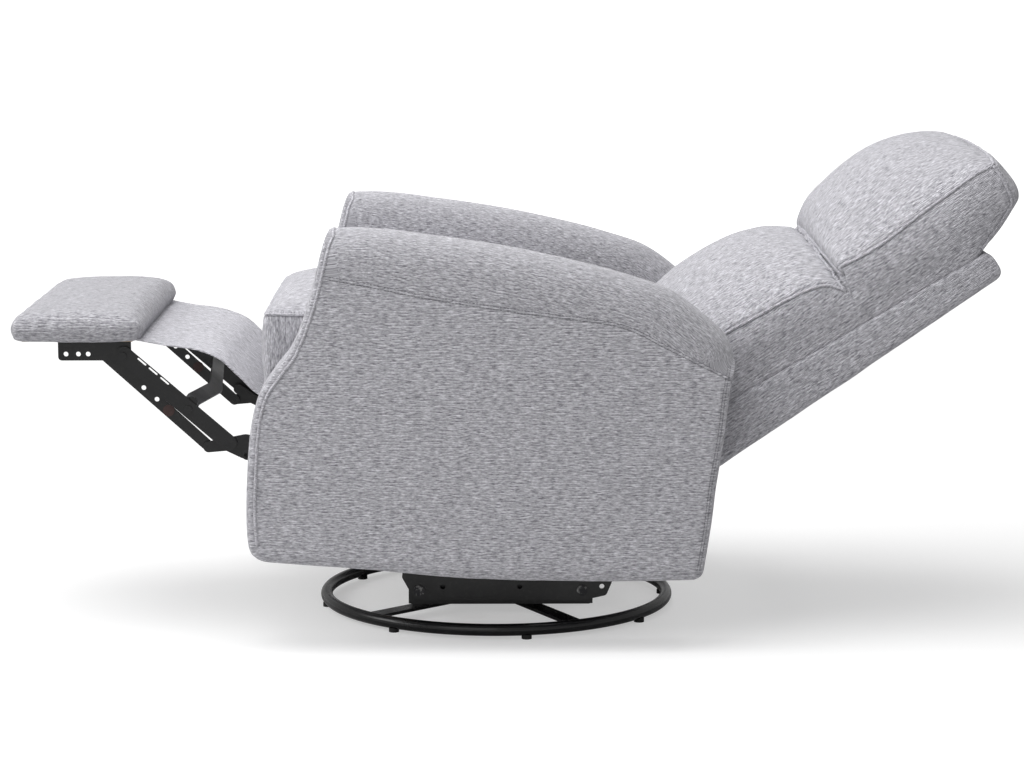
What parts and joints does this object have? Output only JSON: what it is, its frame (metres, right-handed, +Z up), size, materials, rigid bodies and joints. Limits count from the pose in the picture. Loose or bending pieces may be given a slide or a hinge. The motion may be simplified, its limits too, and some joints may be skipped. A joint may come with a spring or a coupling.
{
  "type": "swivel glider recliner",
  "caption": "Fabric swivel glider recliner, stored reclined with its footrest out: floor ring, glider, folding footrest linkage, padded arms and hinged back.",
  "frame": {"origin": "on the floor under the swivel's axis, at the centre of the floor ring", "axes": "+Z up, -Y the way the chair faces, +X to the sitter's left"},
  "size_m": [0.754, 1.5389, 0.7702],
  "materials": {
    "grey_fabric": "heathered woven chenille",
    "black_steel": "semi-gloss black paint",
    "bright_steel": "zinc plated",
    "wood": "raw plywood and softwood",
    "black_webbing": "woven black webbing and deck cloth",
    "black_rubber": "matt rubber"
  },
  "bodies": {
    "base": {"base_ring": "black_steel", "base_arms": "black_steel", "hub_plate": "black_steel", "ring_feet": "black_rubber", "bearing_lower_race": "black_steel", "bearing_balls": "bright_steel"},
    "turntable": {"bearing_upper_race": "black_steel", "turntable_plate": "black_steel", "cross_channel_front": "black_steel", "cross_channel_rear": "black_steel", "glider_side_plate_left": "black_steel", "glider_side_plate_right": "black_steel", "upper_swing_pins": "bright_steel"},
    "front_swing_links": {"front_swing_link_left": "black_steel", "front_swing_link_right": "black_steel"},
    "rear_swing_links": {"rear_swing_link_left": "black_steel", "rear_swing_link_right": "black_steel"},
    "chassis": {"hanger_plate_left": "black_steel", "hanger_plate_right": "black_steel", "lower_swing_pins": "bright_steel", "cross_tube_front": "black_steel", "cross_tube_rear": "black_steel", "mechanism_plate_left": "black_steel", "mechanism_plate_right": "black_steel", "chassis_pivot_pins": "bright_steel", "seat_rail_left": "wood", "seat_rail_right": "wood", "front_rail": "wood", "rear_rail": "wood", "seat_webbing": "black_webbing", "seat_deck": "black_webbing", "seat_cushion": "grey_fabric", "arm_panel_left": "wood", "arm_panel_right": "wood", "arm_cover_left": "grey_fabric", "arm_cover_right": "grey_fabric", "footrest_flap": "grey_fabric"},
    "rear_main_links": {"rear_main_link_left": "black_steel", "rear_main_link_right": "black_steel"},
    "rear_control_links": {"rear_control_link_left": "black_steel", "rear_control_link_right": "black_steel"},
    "front_upper_links": {"front_upper_link_left": "black_steel", "front_upper_link_right": "black_steel", "cross_bar": "black_steel"},
    "front_lower_links": {"front_lower_link_left": "black_steel", "front_lower_link_right": "black_steel", "link_bumpers": "black_rubber"},
    "footrest": {"footrest_bracket_left": "black_steel", "footrest_bracket_right": "black_steel", "footrest_board": "wood", "footrest_pad": "grey_fabric"},
    "back": {"back_bracket_left": "black_steel", "back_bracket_right": "black_steel", "back_stile_left": "wood", "back_stile_right": "wood", "back_rails": "wood", "back_slab": "grey_fabric", "lumbar_cushion": "grey_fabric", "head_cushion": "grey_fabric"},
    "lever": {"release_lever": "black_steel"}
  },
  "joints": [
    {"name": "swivel", "type": "hinge", "parent": "base", "child": "turntable", "pos_m": [0, 0, 0.03], "axis": [0, 0, 1], "continuous": true},
    {"name": "glide", "type": "hinge", "parent": "turntable", "child": "front_swing_links", "pos_m": [0, -0.122, 0.16], "axis": [1, 0, 0], "range_deg": [-20, 20]},
    {"name": "rear_glide", "type": "hinge", "parent": "turntable", "child": "rear_swing_links", "pos_m": [0, 0.134, 0.16], "axis": [1, 0, 0], "range_deg": [-20, 20]},
    {"name": "seat_level", "type": "hinge", "parent": "front_swing_links", "child": "chassis", "pos_m": [0, -0.122, 0.06], "axis": [1, 0, 0], "range_deg": [-20, 20]},
    {"name": "footrest", "type": "hinge", "parent": "chassis", "child": "rear_main_links", "pos_m": [0, -0.215, 0.3], "axis": [1, 0, 0], "range_deg": [0, 61.87], "deforming": ["footrest_flap"]},
    {"name": "control_swing", "type": "hinge", "parent": "chassis", "child": "rear_control_links", "pos_m": [0, -0.2875, 0.299], "axis": [1, 0, 0], "range_deg": [-1, 87.96]},
    {"name": "upper_knee", "type": "hinge", "parent": "rear_main_links", "child": "front_upper_links", "pos_m": [0, -0.416, 0.3], "axis": [1, 0, 0], "range_deg": [-114.85, 1]},
    {"name": "lower_knee", "type": "hinge", "parent": "rear_main_links", "child": "front_lower_links", "pos_m": [0, -0.445, 0.296], "axis": [1, 0, 0], "range_deg": [-115.86, 1]},
    {"name": "footrest_tilt", "type": "hinge", "parent": "front_upper_links", "child": "footrest", "pos_m": [0, -0.575, 0.438], "axis": [1, 0, 0], "range_deg": [-1, 142.97]},
    {"name": "recline", "type": "hinge", "parent": "chassis", "child": "back", "pos_m": [0, 0.23, 0.32], "axis": [1, 0, 0], "range_deg": [0, 40]},
    {"name": "release", "type": "hinge", "parent": "chassis", "child": "lever", "pos_m": [-0.266, -0.15, 0.362], "axis": [1, 0, 0], "range_deg": [-18, 0], "stiffness_Nm_per_rad": 0.6, "springref_deg": 20.05}
  ],
  "couplings": [
    {"joint": "rear_glide", "follows": "glide", "ratio": 1},
    {"joint": "seat_level", "follows": "glide", "ratio": -1},
    {"joint": "control_swing", "follows": "footrest", "ratio": 1.4055},
    {"joint": "upper_knee", "follows": "footrest", "ratio": -1.84},
    {"joint": "lower_knee", "follows": "footrest", "ratio": -1.8564},
    {"joint": "footrest_tilt", "follows": "footrest", "ratio": 2.2947}
  ]
}
